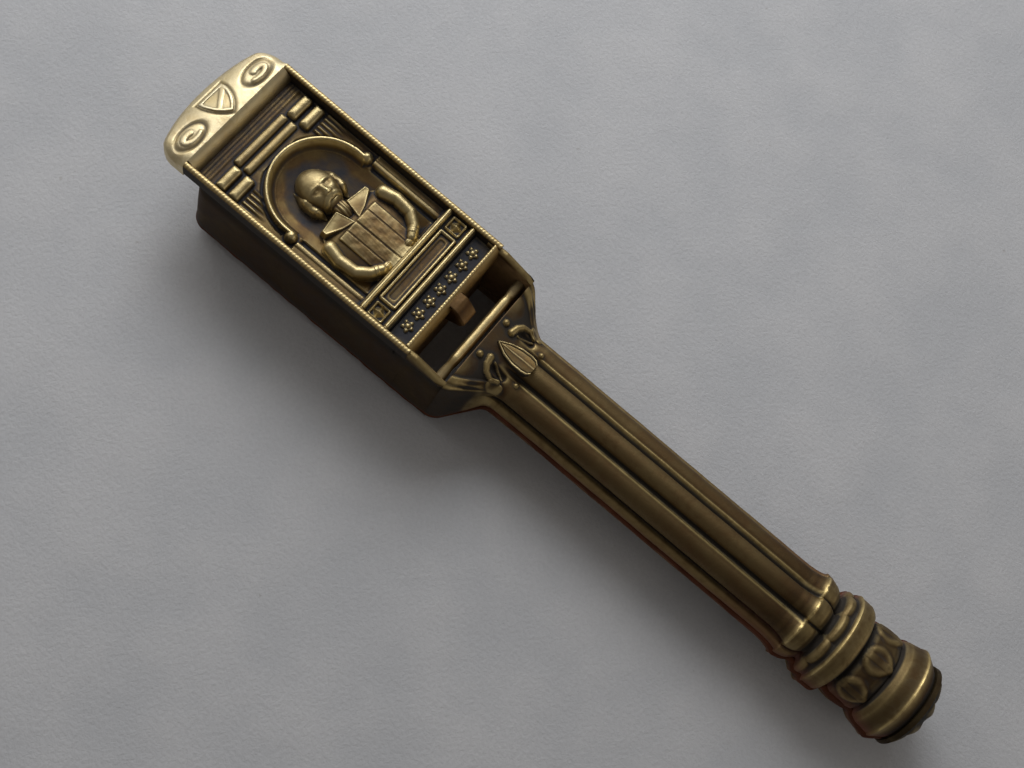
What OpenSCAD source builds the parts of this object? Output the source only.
// Souvenir bottle opener: two hollow brass half castings brazed together, with a
// relief plaque, a bust, a crest and a cap lifter set into the box-shaped head.
// +X runs from the crest to the pommel, +Z out of the relief face, and the back
// lies on z = 0. The origin is under the middle of the length.

/* [Overall] */
// Length from the crest's tip to the pommel boss
overall_l = 131.4; // [130.4:0.2:132.4]
// Height of the handle's axis above the back
axis_z = 7.5; // [7.4:0.1:7.6]

/* [Head] */
// Width of the head across its face frame
head_w = 20.7; // [20.5:0.1:20.9]
// Width of the head across its flared base
base_w = 22.6; // [22:0.2:23]
// Height of the face frame's top
head_h = 16.5; // [16.3:0.1:16.7]
// Wall thickness of the head's box
wall = 1.8; // [1.6:0.1:2]
// Thickness of the back plate
back_t = 2.2; // [2:0.1:2.4]

/* [Relief] */
// Radius of the niche arch, to the middle of its ring
arch_r = 7.2; // [7:0.1:7.4]
// Width of the niche arch's ring
arch_w = 1.1; // [0.9:0.1:1.2]
// Diameter of the studs in the lower row
stud_d = 1.8; // [1.6:0.1:1.9]
// Number of studs in the lower row
stud_n = 7; // [5:1:7]

/* [Cap lifter] */
// Clear width of the window between its far wall and the lifter bar
window_gap = 4.2; // [4.1:0.1:4.3]
// Length of the window across the head
window_w = 18.2; // [17.6:0.2:18.4]
// Width of the lifter bar
bar_w = 1.4; // [1.2:0.1:1.5]
// Width of the lifter tooth at its root
tooth_w = 2.8; // [2.4:0.2:3]

/* [Handle] */
// Radius over the handle's reeds
reed_r = 6.3; // [6.2:0.1:6.4]
// Radius of the handle's bore
bore_r = 3.4; // [3.2:0.1:3.6]
// Radius of the pommel's rings
ring_r = 7.5; // [7.4:0.1:7.5]

/* [Joint] */
// Thickness of the brazed joint
braze_t = 0.3; // [0.25:0.05:0.4]
// How far the joint stands proud of the handle
braze_lip = 0.45; // [0.3:0.05:0.5]

/* [Hidden] */
$fn = 64;
brass = "darkgoldenrod";
bright_brass = "gold";
copper = "sienna";

x_tip = -overall_l / 2;
x_end = overall_l / 2;
crest_l = 6.2;
x_crest = x_tip + crest_l;
slope_l = 1.4;
x_box = x_crest + slope_l;
x_window = x_tip + 44.4;
x_bar = x_window + window_gap;
x_gap = x_bar + bar_w;
x_shoulder = x_gap + 0.5;
x_neck = x_shoulder + 7.2;
x_collar = x_end - 26.1;
x_ring = x_end - 19.9;
x_end_ring = x_end - 9.5;
x_boss = x_end - 3.9;

plate_z = 13.9;
floor_z = 14.5;
belly_z = 12.2;
rail_w = 1;
rim_y = head_w / 2;
base_y = base_w / 2;
face_y = rim_y - rail_w;
box_y = rim_y - wall - 0.4;
shoulder_z = 13.6;
lap = 0.9;

x_arch = x_tip + 21.4;
x_bar_1 = x_tip + 35.6;
x_bar_2 = x_tip + 39.7;
x_studs = x_tip + 41.9;

// A sheet standing across Y, cut to the XZ outline that its children draw
module across_y(w) {
    rotate([90, 0, 0]) linear_extrude(w, center = true) children();
}

// Everything above (side = 1) or below (side = -1) the brazed joint's path
module joint_side(side, shift) {
    far = side > 0 ? 40 : -20;
    across_y(60)
        polygon([[x_tip - 5, back_t + shift], [x_shoulder - 1.2, back_t + shift],
                 [x_neck + 0.4, axis_z + shift], [x_end + 5, axis_z + shift],
                 [x_end + 5, far], [x_tip - 5, far]]);
}

// Cross-section of the box: a flared wall, a cove under the plates and a rounded foot
module box_section(grow = 0) {
    foot_r = 2.6;
    difference() {
        union() {
            polygon([[rim_y - 0.15 + grow, plate_z], [base_y + grow, foot_r],
                     [-base_y - grow, foot_r], [-rim_y + 0.15 - grow, plate_z]]);
            translate([-base_y + foot_r - grow, 0]) square([base_w - 2 * foot_r + 2 * grow, foot_r]);
            for (s = [1, -1]) translate([s * (base_y - foot_r + grow), foot_r]) circle(foot_r);
        }
        for (s = [1, -1]) translate([s * (rim_y + 0.75 + grow), plate_z - 1.5]) circle(1.2);
    }
}

// The head's box, from its far wall to the shoulder
module box_form(grow = 0) {
    corner_r = 2.5;
    intersection() {
        translate([x_box - grow, 0, 0]) rotate([90, 0, 90])
            linear_extrude(x_shoulder + 0.6 - x_box + grow) box_section(grow);
        translate([0, 0, -1]) linear_extrude(30) union() {
            translate([x_box + corner_r - grow, -15]) square([60, 30]);
            translate([x_box - grow, -base_y + corner_r]) square([10, base_w - 2 * corner_r]);
            for (s = [1, -1]) translate([x_box + corner_r - grow, s * (base_y - corner_r)])
                circle(corner_r + 2 * grow);
        }
    }
}

// The neck, running from the head's full width in to the round handle
module neck_form(grow = 0) {
    hull($fn = 32) {
        translate([x_shoulder - 0.5, -rim_y - grow, 0.8]) cube([0.5, head_w + 2 * grow, shoulder_z - 0.8]);
        translate([x_shoulder - 0.5, -base_y - grow, 2]) cube([0.5, base_w + 2 * grow, 6]);
        translate([x_neck, 0, axis_z]) rotate([0, 90, 0]) cylinder(r = reed_r - 0.3 + grow, h = 0.6);
    }
}

// Handle's section: broad reeds front and back, narrow edge beads beside the joint
module reed_section(grow = 0) {
    circle(reed_r - 1.05 + grow);
    for (side = [0, 180]) rotate(side) {
        translate([reed_r - 1.5, 0]) circle(1.5 + grow);
        for (s = [1, -1]) {
            rotate(s * 43) translate([reed_r - 1.95, 0]) circle(1.95 + grow);
            rotate(s * 79) translate([reed_r - 0.95, 0]) circle(0.85 + grow);
        }
    }
}

// Pommel's outline, radius against length: collar, ring, drum and end ring
module pommel_outline(grow = 0) {
    translate([x_collar - 0.6, 0]) square([x_boss - x_collar + 0.6, reed_r - 0.1 + grow]);
    for (x = [x_collar + 1.3, x_ring - 1.9]) translate([x, reed_r - 0.9]) circle(1.7 + grow);
    for (x = [x_ring, x_end_ring]) translate([x - grow, 0])
        polygon([[0, 0], [0, ring_r - 1.2 + grow], [1.3, ring_r - 0.25 + grow], [1.9, ring_r + grow],
                 [3.9, ring_r + grow], [4.7 + 2 * grow, ring_r - 0.9 + grow], [5.2 + 2 * grow, 0]]);
}

// Outside of the handle and pommel
module handle_form(grow = 0) {
    translate([x_neck - 0.4, 0, axis_z]) rotate([90, 0, 90])
        linear_extrude(x_collar - x_neck + 0.6) rotate(90) reed_section(grow);
    translate([0, 0, axis_z]) rotate([0, 90, 0]) rotate_extrude()
        rotate(-90) mirror([1, 0]) pommel_outline(grow);
}

// Outside of both castings together
module body_form(grow = 0) {
    box_form(grow);
    neck_form(grow);
    handle_form(grow);
}

// The hollows: the box's core, the handle's bore and the socket for the boss
module core_form() {
    translate([x_box + wall, -box_y, back_t]) cube([x_window - 1.8 - x_box - wall, 2 * box_y, 20]);
    translate([x_shoulder + 4.5, 0, axis_z]) rotate([0, 90, 0])
        cylinder(r = bore_r, h = x_end_ring - x_shoulder - 4.5);
    translate([x_end_ring - 0.5, 0, axis_z]) rotate([0, 90, 0]) cylinder(r = 2, h = 10);
}

// The cap lifter's window, right through the head
module window_form() {
    translate([x_window, -window_w / 2, -1]) cube([x_shoulder - x_window, window_w, 30]);
}

module front_casting() {
    color(brass) difference() {
        intersection() {
            union() {
                body_form();
                cheeks();
            }
            joint_side(1, braze_t / 2);
        }
        core_form();
        window_form();
        crest_seat();
        translate([x_tip, -15, plate_z]) cube([x_window - x_tip, 30, 10]);
        tooth_slot();
        bar_body();
    }
}

// Raised cheeks each side of the window, falling towards the shoulder
module cheeks() {
    across_y(head_w - 0.3)
        polygon([[x_window - 2, 8], [x_window - 2, 15.7], [x_window + 1.2, 15.7],
                 [x_shoulder + 0.4, shoulder_z + 0.5], [x_shoulder + 1.6, shoulder_z - 1], [x_shoulder, 8]]);
}

// Step in the far wall that the crest plate's tongue lies on
module crest_seat() {
    translate([x_tip, -15, plate_z - 0.7]) cube([x_box + wall + 0.1 - x_tip, 30, 10]);
}

// Slot in the window's far wall that holds the tooth's root
module tooth_slot() {
    translate([x_window - lap, -tooth_w / 2, 10]) cube([lap + 0.5, tooth_w, 10]);
}

module back_casting() {
    color(brass) difference() {
        intersection() {
            body_form();
            joint_side(-1, -braze_t / 2);
        }
        core_form();
        window_form();
    }
}

module braze_seam() {
    color(copper) difference() {
        intersection() {
            union() {
                box_form(0.12);
                neck_form(braze_lip);
                handle_form(braze_lip);
            }
            joint_side(1, -braze_t / 2);
            joint_side(-1, braze_t / 2);
        }
        core_form();
        window_form();
        translate([x_boss, -15, -5]) cube([10, 30, 30]);
    }
}

// Side rails and near member round the plaque; the crest plate closes the far end
module face_frame() {
    rail_l = x_window - x_crest;
    color(bright_brass) difference() {
        translate([x_crest, -rim_y, plate_z]) cube([rail_l, head_w, head_h - plate_z]);
        translate([x_crest - 1, -face_y, plate_z - 1]) cube([rail_l + 0.35, 2 * face_y, 10]);
        translate([x_window - lap, -tooth_w / 2, plate_z - 1]) cube([2, tooth_w, 3.2]);
    }
}

// Domed plate that overhangs the far end, with a slope down to the plaque
module crest_plate() {
    dome_r = 8.7;
    tip_r = 17;
    corner_r = 3.2;
    color(bright_brass) difference() {
        union() {
            intersection() {
                translate([0, 0, plate_z - 0.7]) linear_extrude(10) intersection() {
                    translate([x_tip + tip_r, 0]) circle(tip_r);
                    union() {
                        translate([x_tip + 1.6 + corner_r, -rim_y]) square([20, head_w]);
                        translate([x_tip - 1, -rim_y + corner_r]) square([20, head_w - 2 * corner_r]);
                        for (s = [1, -1]) translate([x_tip + 1.6 + corner_r, s * (rim_y - corner_r)])
                            circle(corner_r);
                    }
                    translate([x_tip - 1, -15]) square([crest_l + 1, 30]);
                }
                translate([x_crest, 0, head_h - dome_r]) rotate([90, 0, 0])
                    cylinder(r = dome_r, h = 30, center = true, $fn = 128);
            }
            across_y(2 * face_y)
                polygon([[x_crest - 0.5, plate_z - 0.7], [x_crest - 0.5, head_h], [x_crest, head_h],
                         [x_box, floor_z], [x_box, plate_z - 0.7]]);
            translate([x_crest - 1, -face_y, plate_z - 0.7]) cube([slope_l + wall + 1, 2 * face_y, 0.7]);
        }
        translate([0, 0, head_h - 0.9]) linear_extrude(5) shield_outline();
    }
}

// Plan of the heater shield, point towards the plaque
module shield_outline() {
    intersection() {
        translate([x_tip + 1.3, -2.1]) square([4.6, 4.2]);
        intersection_for (s = [1, -1]) translate([x_tip + 1.3, s * 2.6]) circle(4.9);
    }
}

module crest_shield() {
    color(bright_brass) intersection() {
        translate([0, 0, head_h - 0.9]) linear_extrude(2) shield_outline();
        translate([x_crest, 0, head_h - 8.7]) rotate([90, 0, 0])
            cylinder(r = 9.05, h = 30, center = true, $fn = 128);
        translate([x_tip, -5, 0]) cube([20, 10, head_h + 0.25]);
    }
}

module relief_plaque() {
    x0 = x_box;
    x1 = x_window - 0.65;
    niche_l = x_bar_1 - 1 - x_arch;
    color(brass) union() {
        difference() {
            union() {
                translate([x0, -face_y, plate_z]) cube([x1 - x0, 2 * face_y, floor_z - plate_z]);
                translate([x0 + wall, -box_y, belly_z])
                    cube([x_window - 1.8 - x_box - wall, 2 * box_y, plate_z - belly_z]);
                translate([x_bar_1, -face_y, plate_z]) cube([x1 - x_bar_1, 2 * face_y, 15.6 - plate_z]);
            }
            translate([x_arch, 0, 13]) cylinder(r = arch_r - arch_w / 2, h = 10);
            translate([x_arch, -arch_r + arch_w / 2, 13]) cube([niche_l, 2 * arch_r - arch_w, 10]);
            translate([x_bar_1 + 0.7, -6.2, 15]) cube([2.6, 12.4, 5]);
            translate([x_bar_2 + 0.6, -face_y + 0.6, 14.9]) cube([3.1, 2 * face_y - 1.2, 5]);
            translate([x_window - lap, -tooth_w / 2, 10]) cube([2, tooth_w, 10]);
        }
        arch_ring();
        entablature();
        for (x = [x_bar_1, x_bar_2]) translate([x - 0.1, -face_y, floor_z]) cube([0.6, 2 * face_y, 1.7]);
        for (s = [1, -1]) translate([(x_bar_1 + x_bar_2) / 2 + 0.2, s * 7.8, floor_z])
            cylinder(d = 2.4, h = 1.5);
        for (i = [0:stud_n - 1]) translate([x_studs, (i - (stud_n - 1) / 2) * 2.3, 14.5])
            sphere(d = stud_d);
    }
}

// Round arch, its legs and the knobs that end them
module arch_ring() {
    leg_l = 1.4;
    difference() {
        translate([x_arch, 0, floor_z - 0.5]) cylinder(r = arch_r + arch_w / 2, h = 1.4);
        translate([x_arch, 0, floor_z - 1]) cylinder(r = arch_r - arch_w / 2, h = 5);
        translate([x_arch, -20, 0]) cube([20, 40, 40]);
    }
    for (s = [1, -1]) {
        translate([x_arch, s * arch_r - arch_w / 2, floor_z - 0.5]) cube([leg_l, arch_w, 1.4]);
        translate([x_arch + leg_l, s * arch_r, floor_z - 0.5]) cylinder(r = 0.9, h = 1.6);
    }
}

// Cornice bands and the paired capitals at each side
module entablature() {
    for (x = [x_tip + 10.3, x_tip + 12.4]) translate([x, -4.6, floor_z - 0.2]) cube([0.9, 9.2, 1]);
    for (s = [1, -1], x = [x_tip + 10.6, x_tip + 12.6])
        translate([x, s * 7.1 - 1.7, floor_z - 0.2]) cube([1.3, 3.4, 1.4]);
}

// Generic half-figure: a plain head, a pointed collar and two sleeves
module niche_bust() {
    z0 = 13;
    head_x = x_arch + 0.9;
    x_foot = x_bar_1 - 1;
    color(brass) union() {
        hull($fn = 32) {
            translate([head_x - 0.6, 0, z0 + 1]) sphere(2.2);
            translate([head_x + 1.2, 0, z0 + 0.9]) sphere(1.6);
            translate([head_x - 0.3, 0, z0]) cylinder(r = 2.2, h = 0.5);
        }
        hull() {
            translate([head_x + 2.2, -1.2, z0]) cube([0.5, 2.4, 1.6]);
            translate([head_x + 4.6, -3.6, z0]) cube([0.4, 7.2, 1.7]);
        }
        hull() {
            translate([head_x + 4.4, -4.4, z0]) cube([0.5, 8.8, 1.2]);
            translate([x_foot - 1, -5.6, z0]) cube([1, 11.2, 1.2]);
            translate([x_foot - 3, -2.4, z0]) cube([2, 4.8, 2.3]);
        }
    }
}

// Tooth on the window's far wall that hooks under a cap's skirt
module lifter_tooth() {
    color(copper) across_y(tooth_w)
        polygon([[x_window - lap, 10.6], [x_window - lap, 15.9], [x_window + 1.2, 15.9],
                 [x_window + 3.1, 13.6], [x_window + 2.8, 12.4], [x_window, 10.6]]);
}

// Bar that spans the window, let into the casting at both ends
module bar_body() {
    end_y = window_w / 2 + 0.7;
    translate([x_bar, -end_y, 9.8]) cube([bar_w, 2 * end_y, 3.2]);
}

// The bar with its raised middle, which bears on the top of a cap
module lifter_bar() {
    color(bright_brass) union() {
        bar_body();
        translate([x_bar, -6.2, 12.5]) cube([bar_w, 12.4, 1]);
    }
}

// Lance-shaped leaf lying on the shoulder, point towards the head
module shoulder_leaf() {
    tip_x = x_shoulder + 1.6;
    color(bright_brass) difference() {
        intersection() {
            translate([0, 0, shoulder_z]) linear_extrude(1.1)
                polygon([[tip_x, 0], [tip_x + 2.2, 1.1], [x_neck - 1, 1.5], [x_neck + 0.6, 1.2],
                         [x_neck + 0.6, -1.2], [x_neck - 1, -1.5], [tip_x + 2.2, -1.1]]);
            translate([tip_x - 1, -5, 0]) cube([20, 10, shoulder_z + 0.9]);
        }
        handle_form();
    }
}

module pommel_boss() {
    lobe_n = 8;
    color(bright_brass) translate([x_boss, 0, axis_z]) rotate([0, 90, 0]) union() {
        cylinder(r = 6.6, h = 0.8);
        intersection() {
            translate([0, 0, -4.1]) sphere(r = 8, $fn = 96);
            cylinder(r = 6.4, h = 10);
            union() {
                cylinder(r = 5.2, h = 10);
                for (i = [0:lobe_n - 1]) rotate(i * 360 / lobe_n) translate([4.9, 0, 0])
                    cylinder(r = 1.7, h = 10);
            }
        }
        translate([0, 0, -4.5]) cylinder(r = 2, h = 5);
    }
}

front_casting();
back_casting();
braze_seam();
face_frame();
crest_plate();
crest_shield();
relief_plaque();
niche_bust();
lifter_tooth();
lifter_bar();
shoulder_leaf();
pommel_boss();
